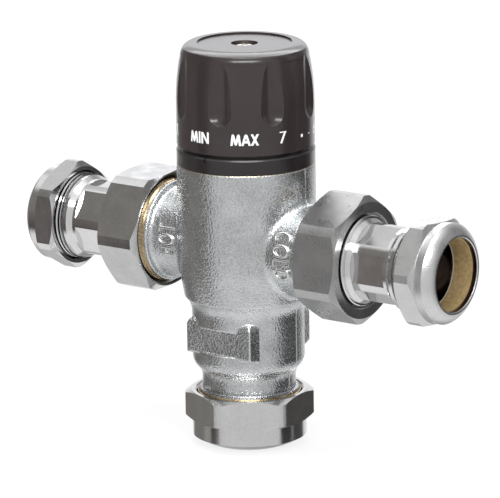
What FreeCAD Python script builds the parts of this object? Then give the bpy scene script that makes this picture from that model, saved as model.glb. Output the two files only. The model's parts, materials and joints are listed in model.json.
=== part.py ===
import FreeCAD, Part
import math
import os

# Thermostatic mixing valve for 22 mm pipe. Lengths are in millimetres. While it is modelled, the valve
# axis is Z and the two inlets lie on the X axis, hot at -X and cold at +X. It is written out standing on
# its outlet nut, with Z = 0 at the nut's mouth.

Vector = FreeCAD.Vector
ORIGIN = Vector(0, 0, 0)
UP = Vector(0, 0, 1)

# Clearances
FIT = 0.05           # radial, between pieces that turn, slide or are pushed together
AXIAL_GAP = 0.2      # between faces that must not rub
SEAL_GAP = 0.05      # seal to its groove and to the wall
PIPE_PLAY = 0.1      # pipe to its socket

EDGE_BREAK = 0.3     # on turned edges
OVERLAP = 1.0        # how far cutters and joined forms run past a face
TOLERANCE = 0.01     # when an edge is looked up by its place

# Compression joint: olive, socket and the nut's mouth
PIPE_R = 11.0
SOCKET_R = PIPE_R + PIPE_PLAY
SOCKET_DEPTH = 13.0
MOUTH_GAP = 0.6
MOUTH_R = PIPE_R + MOUTH_GAP
MOUTH_CHAMFER = 0.35
NOSE_WIDTH = 0.5
DOME_BULGE = 0.1
OLIVE_END_WALL = 0.8
OLIVE_SWELL = 1.4
OLIVE_END_R = SOCKET_R + OLIVE_END_WALL
OLIVE_R = OLIVE_END_R + OLIVE_SWELL
OLIVE_CONE = 2.6
OLIVE_BAND = 1.8
OLIVE_LENGTH = 2 * OLIVE_CONE + OLIVE_BAND
NUT_CHAMFER = 1.1

# One-inch pipe thread of the three body ports, and the inlets' bosses behind it
THREAD_R = 16.6
THREAD_LEAD_IN = 0.8
BOSS_STEP = 2.0          # below the thread
BOSS_R = THREAD_R - BOSS_STEP
BOSS_FILLET = 2.4

# Spindle
SPINDLE_R = 4.0
SPINDLE_THREAD_R = 5.5
SPINDLE_COLLAR_R = 7.5
SPINDLE_COLLAR = 2.0
SPINDLE_SEAL_SECTION_R = 0.5
SPINDLE_HEX_AF = 6.6
WASHER_THICKNESS = 0.6
CLIP_THICKNESS = 0.8
CLIP_R = 6.2
CLIP_GROOVE = 0.8
CLIP_GROOVE_R = SPINDLE_R - CLIP_GROOVE
CLIP_OPENING = 3.0

# Carriage and what it holds, from the inside out
CARRIAGE_CUP_R = 7.2
CARRIAGE_WALL = 2.25
OVERTRAVEL_WIRE_R = 0.8
OVERTRAVEL_PLAY = 0.7
OVERTRAVEL_R = CARRIAGE_CUP_R - OVERTRAVEL_PLAY - OVERTRAVEL_WIRE_R
OVERTRAVEL_TURNS = 4
PLUNGER_THICKNESS = 2.0
PLUNGER_BOSS = 2.0
PLUNGER_BOSS_R = 4.4
PLUNGER_CLIP = 1.0
PLUNGER_CLIP_BITE = 0.8
PLUNGER_CLIP_R = CARRIAGE_CUP_R + PLUNGER_CLIP_BITE
PLUNGER_CLIP_HOLE_R = 5.0
GUIDE_BORE_R = CARRIAGE_CUP_R + CARRIAGE_WALL + FIT
KEY_HEIGHT = 1.1
KEYWAY_R = GUIDE_BORE_R + KEY_HEIGHT
KEYWAY_WIDTH = 3.0
SEAT_R = KEYWAY_R        # the carriage goes in from below, through the seat

# Shuttle and wax element
SHUTTLE_LAP = 1.4        # how far the shuttle's rim reaches over its seats
SHUTTLE_WALL = 2.4
SHUTTLE_R = SEAT_R + SHUTTLE_LAP
SHUTTLE_BORE_R = SHUTTLE_R - SHUTTLE_WALL
SHUTTLE_LIFT = 1.0
SHUTTLE_SEAL_SECTION_R = 0.65
SHUTTLE_HUB_WALL = 1.3
SHUTTLE_HUB_HALF = 1.5
SHUTTLE_SPOKES = 3
SHUTTLE_SPOKE_WIDTH = 3.0
BULB_R = 6.3
BULB_NOSE = 3.0
BULB_LENGTH = 20.5
BULB_BOTTOM = SHUTTLE_HUB_HALF - BULB_LENGTH
SHUTTLE_HUB_R = BULB_R + SHUTTLE_HUB_WALL
ELEMENT_FLANGE_R = 7.5
ELEMENT_FLANGE = 2.0
ELEMENT_NECK_R = 4.0
ELEMENT_NECK = 8.5
ELEMENT_FILLET = 1.0
ELEMENT_TOP = SHUTTLE_HUB_HALF + ELEMENT_FLANGE + ELEMENT_NECK
PIN_R = 1.5
PIN_HOLE_DEPTH = 7.4
PIN_ROOM = 1.6           # wax below the pin
PIN_HOLE_BOTTOM = ELEMENT_TOP - PIN_HOLE_DEPTH
PIN_BOTTOM = PIN_HOLE_BOTTOM + PIN_ROOM
RETURN_WIRE_R = 0.65
RETURN_PLAY = 0.45
RETURN_SPRING_R = SHUTTLE_BORE_R - RETURN_PLAY - RETURN_WIRE_R
RETURN_TURNS = 5

# Water ways in the body; the shuttle's bore has a gallery above it and one below
WEB_HALF = 2.5
GALLERY_HEIGHT = 5.5
SEAT_HEIGHT = WEB_HALF + GALLERY_HEIGHT
SHUTTLE_HALF = SEAT_HEIGHT - SHUTTLE_LIFT
SKIRT_WALL = 4.9
SKIRT_STEP = 1.5
LEDGE_STEP = 1.0
BONNET_SKIRT_R = SEAT_R + SKIRT_WALL
GALLERY_R = BONNET_SKIRT_R + SKIRT_STEP
BONNET_R = GALLERY_R + LEDGE_STEP
BULB_ROOM = 5.0
MIXING_BOTTOM = BULB_BOTTOM - BULB_ROOM
SPRING_LEDGE = 2.5
SPRING_LEDGE_R = 7.6
OUTLET_WAY_R = 9.5
INLET_WAY_R = 10.5
INLET_WAY_WALL = 2.5     # left round the galleries, apart from the windows
INLET_WAY_END = GALLERY_R + INLET_WAY_WALL
WINDOW_HALF_WIDTH = 6.0

# Barrel and waist of the body
BARREL_WALL = 4.1
BARREL_R = BONNET_R + BARREL_WALL
BARREL_TOP = 26.5
WHOLE_BARREL = 1.0       # the barrel is a true cylinder above this height
FOOT_TAPER = 1.8
BARREL_FOOT_R = BARREL_R - FOOT_TAPER
BARREL_FOOT = -BOSS_R - BOSS_FILLET
SHOULDER_STEP = 2.3
SHOULDER = 5.5
WAIST_R = BARREL_FOOT_R - SHOULDER_STEP
WAIST_TOP = BARREL_FOOT - SHOULDER

# Block with spanner flats across the waist
BLOCK_HALF_WIDTH = 12.3
FLAT_CUT = 1.5           # from the waist's side to the flat
BLOCK_HALF_DEPTH = WAIST_R - FLAT_CUT
BLOCK_DROP = 0.7
BLOCK_HEIGHT = 11.2
BLOCK_TOP = WAIST_TOP - BLOCK_DROP
BLOCK_BOTTOM = BLOCK_TOP - BLOCK_HEIGHT
BLOCK_EDGE = 0.7
BLOCK_TOP_EDGE = 2.4
BLOCK_DRAFT = 0.2        # sideways per length, as a casting needs it

# Cone, neck and threaded outlet below the waist
WAIST_FOOT = 2.2
CONE_STEP = 1.5
CONE_HEIGHT = 3.6
NECK_R = 15.0
NECK_FLARE = 3.6
NECK_HEIGHT = 3.8
OUTLET_THREAD = 10.9
WAIST_BOTTOM = BLOCK_BOTTOM - WAIST_FOOT
CONE_R = WAIST_R - CONE_STEP
CONE_END = WAIST_BOTTOM - CONE_HEIGHT
NECK_TOP = CONE_END - NECK_FLARE
NECK_BOTTOM = NECK_TOP - NECK_HEIGHT
OUTLET_FACE = NECK_BOTTOM - OUTLET_THREAD

# Inlets of the body, distances from the valve axis along X
BOSS_END = 26.8
BOSS_FLARE = 1.5
FLANGE_STEP = 0.4        # below the thread
FLANGE_WIDTH = 1.0
PORT_THREAD = 9.2
FLANGE_R = THREAD_R - FLANGE_STEP
FLANGE_START = BOSS_END + BOSS_FLARE
FLANGE_END = FLANGE_START + FLANGE_WIDTH
PORT_FACE = FLANGE_END + PORT_THREAD

# Gasket and strainer
GASKET_THICKNESS = 2.0
STRAINER_GAP = 0.9
STRAINER_R = INLET_WAY_R - STRAINER_GAP
STRAINER_WALL = 0.6
STRAINER_LENGTH = 11.0
STRAINER_SEAT = 1.9
STRAINER_RIM_R = INLET_WAY_R + STRAINER_SEAT
STRAINER_RIM = 1.2
STRAINER_SLOTS = 10
STRAINER_SLOT_WIDTH = 1.2

# Union nuts, distances from the valve axis
TAIL_FLANGE = 2.7
UNION_GAP = 1.2          # flange to nut
UNION_WALL = 1.9
UNION_CORNER = 2.0       # from the flats out to the turned corners
UNION_LIP = 2.5
UNION_LIP_GAP = 0.1
UNION_HOLE_GAP = 0.7
UNION_MOUTH = 1.3
UNION_MOUTH_DEPTH = 1.6
UNION_START = FLANGE_END + UNION_GAP
UNION_END = PORT_FACE + GASKET_THICKNESS + TAIL_FLANGE + UNION_LIP_GAP + UNION_LIP
UNION_HEX_AF = 2 * (THREAD_R + UNION_WALL)
UNION_CORNER_R = UNION_HEX_AF / 2 + UNION_CORNER
UNION_MOUTH_R = THREAD_R + UNION_MOUTH

# Tailpiece, distances from the valve axis
TAIL_WALL = 1.3
TAIL_R = SOCKET_R + TAIL_WALL
TAIL_FLANGE_R = FLANGE_R
HUB_STEP = 2.0
TAIL_HUB_R = TAIL_R + HUB_STEP
UNION_HOLE_R = TAIL_HUB_R + UNION_HOLE_GAP
HUB_REACH = 0.6
TAIL_HUB_END = UNION_END + HUB_REACH
TAIL_GROOVE = 0.5
TAIL_GROOVE_DEPTH = 0.9
TAIL_GROOVE_R = TAIL_HUB_R - TAIL_GROOVE_DEPTH
TAIL_CONE = 1.3
TAIL_CONE_END = TAIL_HUB_END + TAIL_GROOVE + TAIL_CONE
FLAT_CUT_IN = 1.0
FLAT_MARGIN = 0.2
FLAT_LENGTH = 11.8
FLAT_AF = 2 * (TAIL_R - FLAT_CUT_IN)
FLAT_START = TAIL_CONE_END + FLAT_MARGIN
FLAT_END = FLAT_START + FLAT_LENGTH
TAIL_PLAIN = 1.1
TAIL_FLARE = 1.7
TAIL_RING = 1.6
TAIL_THREAD = 8.9
TAIL_FLARE_START = FLAT_END + TAIL_PLAIN
TAIL_FLARE_END = TAIL_FLARE_START + TAIL_FLARE
TAIL_RING_END = TAIL_FLARE_END + TAIL_RING
TAIL_FACE = TAIL_RING_END + TAIL_THREAD
TAIL_THREAD_WALL = 0.7
RING_STEP = 0.4
TAIL_THREAD_R = OLIVE_R + TAIL_THREAD_WALL
TAIL_RING_R = TAIL_THREAD_R - RING_STEP

# Check-valve cartridge
CHECK_BORE_STEP = 1.6
CHECK_STOP = 1.5
PIPE_STOP = 2.5
CHECK_BORE_R = SOCKET_R - CHECK_BORE_STEP
CHECK_STOP_R = CHECK_BORE_R - CHECK_STOP
CHECK_BORE_END = TAIL_FACE - SOCKET_DEPTH - PIPE_STOP
CAGE_WALL = 1.3
CAGE_LENGTH = 14.5
CAGE_SEAT = 1.6
CAGE_SEAT_R = 6.0
CAGE_R = CHECK_BORE_R - FIT
CAGE_BORE_R = CAGE_R - CAGE_WALL
CAGE_START = CHECK_BORE_END - CAGE_LENGTH
SEAT_FACE = CHECK_BORE_END - CAGE_SEAT
CHECK_SEAL_SECTION_R = 0.6
GUIDE_THICKNESS = 2.0
GUIDE_HUB_R = 2.9
GUIDE_RIM = 1.1
GUIDE_SPOKES = 3
GUIDE_SPOKE_WIDTH = 1.4
GUIDE_TOP = CAGE_START + GUIDE_THICKNESS
POPPET_R = 7.1
POPPET_DISC = 1.5
POPPET_STEM_R = 1.5
POPPET_FILLET = 1.0
NOSE_GAP = 0.4
POPPET_NOSE_R = CAGE_SEAT_R - NOSE_GAP
POPPET_TIP_R = 3.0
POPPET_NOSE = 1.4
CHECK_SPRING_R = 4.4
CHECK_WIRE_R = 0.35
CHECK_TURNS = 4

# Compression nuts of the inlets
COMP_GAP = 2.2           # from the tailpiece's ring
COMP_WALL = 2.0
COMP_CORNER = 1.8        # from the flats out to the turned corners
COMP_COLLAR_STEP = 0.1
COMP_COLLAR = 2.6
COMP_DOME = 3.0
COMP_LAND = 1.7          # round the mouth, past the olive
COMP_START = TAIL_RING_END + COMP_GAP
COMP_HEX_AF = 2 * (TAIL_THREAD_R + COMP_WALL)
COMP_CORNER_R = COMP_HEX_AF / 2 + COMP_CORNER
COMP_COLLAR_R = COMP_HEX_AF / 2 - COMP_COLLAR_STEP

# Compression nut of the outlet
OUTLET_GAP = 0.7         # from the body's neck
OUTLET_WALL = 2.0
OUTLET_CORNER = 2.1
OUTLET_COLLAR_STEP = 0.2
OUTLET_COLLAR = 5.2
OUTLET_DOME = 2.8
OUTLET_LAND = 2.9
OUTLET_NUT_TOP = NECK_BOTTOM - OUTLET_GAP
OUTLET_HEX_AF = 2 * (THREAD_R + OUTLET_WALL)
OUTLET_CORNER_R = OUTLET_HEX_AF / 2 + OUTLET_CORNER
OUTLET_COLLAR_R = OUTLET_HEX_AF / 2 - OUTLET_COLLAR_STEP
OUTLET_NUT_END = OUTLET_FACE - OLIVE_BAND - OLIVE_CONE - OUTLET_LAND
PORT_HEIGHT = -OUTLET_NUT_END

# How far each hexagon is turned about its own axis, in degrees
RIGHT_UNION_TURN = -6.0
LEFT_UNION_TURN = 26.5
RIGHT_COMP_TURN = -34.0
LEFT_COMP_TURN = 3.3
RIGHT_TAIL_TURN = -3.0
LEFT_TAIL_TURN = 33.0
OUTLET_TURN = 36.0

# Collar ring under the knob
COLLAR_HEIGHT = 4.9
COLLAR_TOP = BARREL_TOP + COLLAR_HEIGHT
COLLAR_EDGE = 0.5
COLLAR_SPIGOT = 3.6
COLLAR_SPIGOT_TOP = COLLAR_TOP + COLLAR_SPIGOT
COLLAR_PLAY = 0.1
INDEX_HALF_WIDTH = 0.35
INDEX_DEPTH = 0.5
INDEX_HEIGHT = 1.6

# Bonnet
BONNET_SKIRT = 4.0
BONNET_LEDGE = SEAT_HEIGHT + BONNET_SKIRT
BONNET_SEAL_SECTION_R = 0.9
BONNET_SEAL_RISE = 4.0
BONNET_SEAL_HEIGHT = BONNET_LEDGE + BONNET_SEAL_RISE
NECK_STEP = 1.0
BONNET_NECK_R = BONNET_R - NECK_STEP
BONNET_SUNK = 0.8
BONNET_NECK_BOTTOM = BARREL_TOP - BONNET_SUNK
SHOULDER_SUNK = 0.4
BONNET_SHOULDER = COLLAR_TOP - SHOULDER_SUNK
BONNET_STEM = 15.5
BONNET_STEM_WALL = 3.5
BONNET_STEM_R = GUIDE_BORE_R + BONNET_STEM_WALL
BONNET_TOP = BONNET_SHOULDER + BONNET_STEM
BONNET_ROOF = 3.5
STOP_LUG_REACH = 3.4
STOP_LUG_R = BONNET_STEM_R + STOP_LUG_REACH
STOP_LUG_DROP = 3.5
STOP_LUG_HEIGHT = 5.0
STOP_LUG_TOP = BONNET_TOP - STOP_LUG_DROP
STOP_LUG_BOTTOM = STOP_LUG_TOP - STOP_LUG_HEIGHT
STOP_LUG_ANGLE = 20.0
STOP_RIB_GAP = 1.6
STOP_RIB_R = BONNET_STEM_R + STOP_RIB_GAP
STOP_PLAY = 0.4

# Heights of the spindle and the carriage, which hang from the bonnet's roof
CARRIAGE_LIFT = 3.55
CARRIAGE_ROOM = 0.85
CARRIAGE_NECK = 9.0
SPINDLE_REACH = 5.0
WASHER_BOTTOM = BONNET_TOP - BONNET_ROOF - WASHER_THICKNESS
SPINDLE_COLLAR_BOTTOM = WASHER_BOTTOM - SPINDLE_COLLAR
CARRIAGE_TOP = SPINDLE_COLLAR_BOTTOM - CARRIAGE_ROOM - CARRIAGE_LIFT
CARRIAGE_CUP_TOP = CARRIAGE_TOP - CARRIAGE_NECK
SPINDLE_BOTTOM = CARRIAGE_TOP - SPINDLE_REACH
CARRIAGE_START = 0.6     # above the wax element at rest
CARRIAGE_LIP = 0.7
CARRIAGE_BOTTOM = ELEMENT_TOP + CARRIAGE_START
PLUNGER_CLIP_HEIGHT = CARRIAGE_BOTTOM + CARRIAGE_LIP
PLUNGER_BOTTOM = PLUNGER_CLIP_HEIGHT + PLUNGER_CLIP
SPINDLE_SEAL_HEIGHT = BONNET_TOP - BONNET_ROOF / 2

# Knob
KNOB_INSET = 0.1         # from the barrel's side
KNOB_R = BARREL_R - KNOB_INSET
KNOB_GAP = 1.0
KNOB_BOTTOM = COLLAR_TOP + KNOB_GAP
KNOB_STRAIGHT = 13.6
KNOB_STRAIGHT_TOP = KNOB_BOTTOM + KNOB_STRAIGHT
KNOB_CROWN = 19.0
KNOB_TOP = KNOB_STRAIGHT_TOP + KNOB_CROWN
KNOB_TAPER = 1.5
KNOB_RIM_R = KNOB_R - KNOB_TAPER
KNOB_EDGE = 4.0
KNOB_WALL = 4.0
KNOB_BORE_R = KNOB_R - KNOB_WALL
KNOB_ROOF = 4.0
KNOB_SKIRT_WALL = 2.0
KNOB_SKIRT_GAP = 0.4
KNOB_SKIRT_ROOM = 1.8
KNOB_SKIRT_R = KNOB_R - KNOB_SKIRT_WALL
KNOB_SKIRT_TOP = COLLAR_SPIGOT_TOP + KNOB_SKIRT_ROOM
COLLAR_SPIGOT_R = KNOB_SKIRT_R - KNOB_SKIRT_GAP
KNOB_HUB_R = 8.5
HUB_RISE = 2.1
KNOB_HUB_BOTTOM = BONNET_TOP + HUB_RISE
KNOB_TURN = 319.0
FLUTES = 8
FLUTE_R = 6.4
FLUTE_DEPTH = 1.65
FLUTE_FLOOR_R = KNOB_R - FLUTE_DEPTH
FLUTE_RISE = 0.2
FLUTE_END = KNOB_STRAIGHT_TOP + FLUTE_RISE
FIRST_FLUTE = 14.0
DISC_R = 15.1
DISC_THICKNESS = 1.4
DISC_SUNK = 0.5
DISC_HOLE_R = 4.3
SPINDLE_HEX = 8.4
SPINDLE_TOP = KNOB_HUB_BOTTOM + SPINDLE_HEX

# Screw that holds the knob
SCREW_R = 1.9
SCREW_LENGTH = 8.0
SCREW_HEAD_R = 3.5
SCREW_HEAD = 2.2
SCREW_CROWN = 0.7
SCREW_SLOT = 0.9
SCREW_SLOT_REACH = 2.1
SCREW_SLOT_DEPTH = 1.3
SCREW_SEAT = 2.4
SCREW_FLOOR = SPINDLE_TOP + SCREW_SEAT


def outline(start, *steps):
    """Closed face in the XZ plane from (radius, height) points; a pair of them is an arc's middle and end."""
    here = Vector(start[0], 0, start[1])
    first = here
    edges = []
    for step in steps:
        if isinstance(step[0], tuple):
            middle = Vector(step[0][0], 0, step[0][1])
            there = Vector(step[1][0], 0, step[1][1])
            edges.append(Part.Arc(here, middle, there).toShape())
        else:
            there = Vector(step[0], 0, step[1])
            edges.append(Part.makeLine(here, there))
        here = there
    edges.append(Part.makeLine(here, first))
    return Part.Face(Part.Wire(edges))


def turned(start, *steps):
    """Solid of revolution about Z."""
    return outline(start, *steps).revolve(ORIGIN, UP, 360)


def level_arc(start, end):
    """Middle and end of an arc that leaves its start parallel to Z."""
    across = end[0] - start[0]
    along = end[1] - start[1]
    radius = (across ** 2 + along ** 2) / (2 * abs(across))
    half = math.asin(min(1.0, abs(along) / radius)) / 2
    middle = (start[0] + math.copysign(radius * (1 - math.cos(half)), across),
              start[1] + math.copysign(radius * math.sin(half), along))
    return middle, end


def arc_to_level(start, end):
    """Middle and end of an arc that reaches its end parallel to Z."""
    return level_arc(end, start)[0], end


def cylinder(radius, bottom, top):
    return Part.makeCylinder(radius, top - bottom, Vector(0, 0, bottom))


def ring(inner, outer, bottom, top):
    return turned((inner, bottom), (outer, bottom), (outer, top), (inner, top))


def seal(section_r, centre_r, height):
    """Round rubber ring."""
    return Part.makeTorus(centre_r, section_r, Vector(0, 0, height), UP)


def prism(across_flats, bottom, top, turn=0.0):
    """Hexagonal bar with a corner towards +X before it is turned."""
    corner = across_flats / math.sqrt(3)
    angles = [math.radians(turn + 60 * i) for i in range(7)]
    points = [Vector(corner * math.cos(a), corner * math.sin(a), bottom) for a in angles]
    return Part.Face(Part.makePolygon(points)).extrude(Vector(0, 0, top - bottom))


def bar(half_x, y_low, y_high, bottom, top):
    return Part.makeBox(2 * half_x, y_high - y_low, top - bottom, Vector(-half_x, y_low, bottom))


def spokes(count, width, inner, outer, bottom, top):
    """Straight arms that run out from a hub to a rim."""
    arms = []
    for i in range(count):
        arm = bar(width / 2, inner, outer, bottom, top)
        arm.rotate(ORIGIN, UP, 360 / count * i)
        arms.append(arm)
    return arms


def sector(inner, outer, angle, bottom, top):
    """Part of a ring, centred on +X."""
    section = Part.Face(Part.makePolygon([
        Vector(inner, 0, bottom), Vector(outer, 0, bottom), Vector(outer, 0, top), Vector(inner, 0, top),
        Vector(inner, 0, bottom)]))
    section.rotate(ORIGIN, UP, -angle / 2)
    return section.revolve(ORIGIN, UP, angle)


def coil(radius, wire_r, turns, bottom, top):
    """Compression spring between two heights: tilted half turns between two flat ones."""
    low = bottom + wire_r
    high = top - wire_r
    rise = (high - low) / (2 * turns)
    heights = [low] + [low + rise * i for i in range(2 * turns + 1)] + [high]
    path = []
    for i in range(len(heights) - 1):
        side = 1 if i % 2 == 0 else -1
        z0 = heights[i]
        z1 = heights[i + 1]
        reach = math.hypot(radius, (z1 - z0) / 2)
        path.append(Part.Arc(Vector(side * radius, 0, z0), Vector(0, side * reach, (z0 + z1) / 2),
                             Vector(-side * radius, 0, z1)).toShape())
    section = Part.Wire(Part.makeCircle(wire_r, Vector(radius, 0, low), Vector(0, 1, 0)))
    return Part.Wire(path).makePipeShell([section], True, False)


def hex_blank(across_flats, corner_r, length, turn):
    """Hexagon from height 0 to length with its corners and both ends turned."""
    face_r = across_flats / 2
    blank = turned((0, 0), (face_r, 0), (corner_r, NUT_CHAMFER), (corner_r, length - NUT_CHAMFER),
                   (face_r, length), (0, length))
    return prism(across_flats, 0, length, turn).common(blank)


def hot(shape):
    """Place a piece that was made along +Z on the hot inlet's axis."""
    placed = shape.copy()
    placed.rotate(ORIGIN, Vector(0, 1, 0), -90)
    return placed


def cold(shape):
    placed = shape.copy()
    placed.rotate(ORIGIN, Vector(0, 1, 0), 90)
    return placed


def olive():
    """Double-cone ring from height 0."""
    return turned((SOCKET_R, 0), (OLIVE_END_R, 0), (OLIVE_R, OLIVE_CONE), (OLIVE_R, OLIVE_CONE + OLIVE_BAND),
                  (OLIVE_END_R, OLIVE_LENGTH), (SOCKET_R, OLIVE_LENGTH))


def pipe_socket(face):
    """Cutter for a socket that opens upwards at a face, with the cone that the olive sits in."""
    cone_end = face - OLIVE_CONE
    return turned((0, face - SOCKET_DEPTH), (SOCKET_R, face - SOCKET_DEPTH), (SOCKET_R, cone_end),
                  (OLIVE_END_R + FIT, cone_end), (OLIVE_R + FIT, face), (0, face))


def compression_nut(across_flats, corner_r, collar_r, collar, dome, land, thread_r, to_face, turn):
    """Nut from its inner face at height 0; to_face is the distance to the face it tightens against."""
    cone_start = to_face + OLIVE_BAND
    cone_end = cone_start + OLIVE_CONE
    end = cone_end + land
    dome_start = end - dome
    hex_length = dome_start - collar
    nose_r = MOUTH_R + MOUTH_CHAMFER + NOSE_WIDTH
    bulge = ((collar_r + nose_r) / 2 + DOME_BULGE * dome, (dome_start + end) / 2 + DOME_BULGE * dome)
    collar_solid = turned((0, hex_length / 2), (collar_r, hex_length / 2), (collar_r, dome_start),
                          (bulge, (nose_r, end)), (0, end))
    hole = turned((0, 0), (thread_r + FIT + THREAD_LEAD_IN, 0), (thread_r + FIT, THREAD_LEAD_IN),
                  (thread_r + FIT, cone_start), (OLIVE_R + FIT, cone_start), (OLIVE_END_R + FIT, cone_end),
                  (MOUTH_R, cone_end), (MOUTH_R, end - MOUTH_CHAMFER), (MOUTH_R + MOUTH_CHAMFER, end),
                  (0, end))
    return hex_blank(across_flats, corner_r, hex_length, turn).fuse(collar_solid).cut(hole).removeSplitter()


def inlet_compression_nut(turn):
    nut = compression_nut(COMP_HEX_AF, COMP_CORNER_R, COMP_COLLAR_R, COMP_COLLAR, COMP_DOME, COMP_LAND,
                          TAIL_THREAD_R, TAIL_FACE - COMP_START, turn)
    nut.translate(Vector(0, 0, COMP_START))
    return nut


def outlet_compression_nut():
    nut = compression_nut(OUTLET_HEX_AF, OUTLET_CORNER_R, OUTLET_COLLAR_R, OUTLET_COLLAR, OUTLET_DOME,
                          OUTLET_LAND, THREAD_R, OUTLET_NUT_TOP - OUTLET_FACE, -OUTLET_TURN)
    nut.rotate(ORIGIN, Vector(1, 0, 0), 180)
    nut.translate(Vector(0, 0, OUTLET_NUT_TOP))
    return nut


def outlet_olive():
    part = olive()
    part.rotate(ORIGIN, Vector(1, 0, 0), 180)
    part.translate(Vector(0, 0, OUTLET_FACE + OLIVE_CONE))
    return part


def barrel():
    """Outer form of the barrel, waist, neck and outlet thread."""
    return turned(
        (0, BARREL_TOP), (BARREL_R - EDGE_BREAK, BARREL_TOP), (BARREL_R, BARREL_TOP - EDGE_BREAK),
        (BARREL_R, WHOLE_BARREL), level_arc((BARREL_R, WHOLE_BARREL), (BARREL_FOOT_R, BARREL_FOOT)),
        arc_to_level((BARREL_FOOT_R, BARREL_FOOT), (WAIST_R, WAIST_TOP)),
        (WAIST_R, WAIST_BOTTOM), level_arc((WAIST_R, WAIST_BOTTOM), (CONE_R, CONE_END)),
        arc_to_level((CONE_R, CONE_END), (NECK_R, NECK_TOP)), (NECK_R, NECK_BOTTOM),
        (THREAD_R - THREAD_LEAD_IN, NECK_BOTTOM), (THREAD_R, NECK_BOTTOM - THREAD_LEAD_IN),
        (THREAD_R, OUTLET_FACE + THREAD_LEAD_IN), (THREAD_R - THREAD_LEAD_IN, OUTLET_FACE), (0, OUTLET_FACE))


def inlet_flange():
    """Flange, thread and end face of an inlet, along +Z."""
    return turned(
        (0, 0), (BOSS_R, 0), (BOSS_R, BOSS_END),
        level_arc((BOSS_R, BOSS_END), (BOSS_R + BOSS_FLARE, FLANGE_START)),
        (FLANGE_R, FLANGE_START), (FLANGE_R, FLANGE_END), (THREAD_R, FLANGE_END + THREAD_LEAD_IN),
        (THREAD_R, PORT_FACE - THREAD_LEAD_IN), (THREAD_R - THREAD_LEAD_IN, PORT_FACE), (0, PORT_FACE))


def block_half(depth):
    """Half of the spanner block, from the parting plane to the flat at this Y."""
    wires = []
    for y in (0, depth):
        spread = BLOCK_DRAFT * abs(depth - y)
        x = BLOCK_HALF_WIDTH + spread
        low = BLOCK_BOTTOM - spread
        high = BLOCK_TOP + spread
        wires.append(Part.makePolygon([Vector(x, y, low), Vector(x, y, high), Vector(-x, y, high),
                                       Vector(-x, y, low), Vector(x, y, low)]))
    block = Part.makeLoft(wires, True, True)
    end_top = BLOCK_TOP + BLOCK_DRAFT * abs(depth) / 2
    top_edges = [edge for edge in block.Edges
                 if is_at(edge, depth, BLOCK_TOP) or is_at(edge, depth / 2, end_top)]
    block = block.makeFillet(BLOCK_TOP_EDGE, top_edges)
    return block.makeFillet(BLOCK_EDGE, [edge for edge in block.Edges if is_at(edge, depth, BLOCK_BOTTOM)])


def spanner_flats():
    """Cutters that carry the block's flats right across the waist."""
    width = BLOCK_HALF_WIDTH - BLOCK_EDGE
    far = WAIST_R + OVERLAP
    low = BLOCK_BOTTOM + BLOCK_EDGE
    high = BLOCK_TOP - BLOCK_TOP_EDGE
    return [bar(width, BLOCK_HALF_DEPTH, far, low, high), bar(width, -far, -BLOCK_HALF_DEPTH, low, high)]


def inlet_way(side):
    """Cutter for one inlet, along +Z, with the pocket that the strainer's rim drops into."""
    pocket_floor = PORT_FACE - STRAINER_RIM
    way = turned((0, INLET_WAY_END), (INLET_WAY_R, INLET_WAY_END), (INLET_WAY_R, pocket_floor),
                 (STRAINER_RIM_R + FIT, pocket_floor), (STRAINER_RIM_R + FIT, PORT_FACE), (0, PORT_FACE))
    return side(way)


def valve_body():
    body = barrel()
    bosses = cylinder(BOSS_R, -BOSS_END, BOSS_END)
    bosses.rotate(ORIGIN, Vector(0, 1, 0), 90)
    body = body.fuse(bosses).removeSplitter()
    joint = [edge for edge in body.Edges if crosses_barrel(edge)]
    body = body.makeFillet(BOSS_FILLET, joint)
    body = body.cut(spanner_flats())
    body = body.fuse([hot(inlet_flange()), cold(inlet_flange()), block_half(BLOCK_HALF_DEPTH),
                      block_half(-BLOCK_HALF_DEPTH)]).removeSplitter()
    upper_way = [
        cylinder(BONNET_R, BONNET_LEDGE, BARREL_TOP),
        cylinder(BONNET_SKIRT_R, SEAT_HEIGHT, BONNET_LEDGE),
        cylinder(GALLERY_R, WEB_HALF, SEAT_HEIGHT),
        cylinder(SHUTTLE_R + FIT, -WEB_HALF, WEB_HALF),
        cylinder(GALLERY_R, -SEAT_HEIGHT, -WEB_HALF),
    ]
    lower_way = [
        cylinder(SEAT_R, MIXING_BOTTOM, -SEAT_HEIGHT),
        cylinder(SPRING_LEDGE_R, MIXING_BOTTOM - SPRING_LEDGE, MIXING_BOTTOM),
        cylinder(OUTLET_WAY_R, OUTLET_FACE + SOCKET_DEPTH, MIXING_BOTTOM - SPRING_LEDGE),
    ]
    socket = pipe_socket(-OUTLET_FACE)
    socket.rotate(ORIGIN, Vector(1, 0, 0), 180)
    window_start = (SHUTTLE_R + GALLERY_R) / 2
    window_length = INLET_WAY_END + OVERLAP - window_start
    hot_window = Part.makeBox(window_length, 2 * WINDOW_HALF_WIDTH, GALLERY_HEIGHT,
                              Vector(-window_start - window_length, -WINDOW_HALF_WIDTH, -SEAT_HEIGHT))
    cold_window = Part.makeBox(window_length, 2 * WINDOW_HALF_WIDTH, GALLERY_HEIGHT,
                               Vector(window_start, -WINDOW_HALF_WIDTH, WEB_HALF))
    ways = upper_way + lower_way + [socket, hot_window, cold_window, inlet_way(hot), inlet_way(cold)]
    return body.cut(ways)


def middle_of(edge):
    return edge.valueAt((edge.FirstParameter + edge.LastParameter) / 2)


def is_at(edge, y, z):
    point = middle_of(edge)
    return abs(point.y - y) < TOLERANCE and abs(point.z - z) < TOLERANCE


def crosses_barrel(edge):
    """True for the edges where a boss meets the barrel."""
    point = middle_of(edge)
    on_boss = abs(math.hypot(point.y, point.z) - BOSS_R) < TOLERANCE
    return on_boss and abs(point.x) < BARREL_R + OVERLAP


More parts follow.
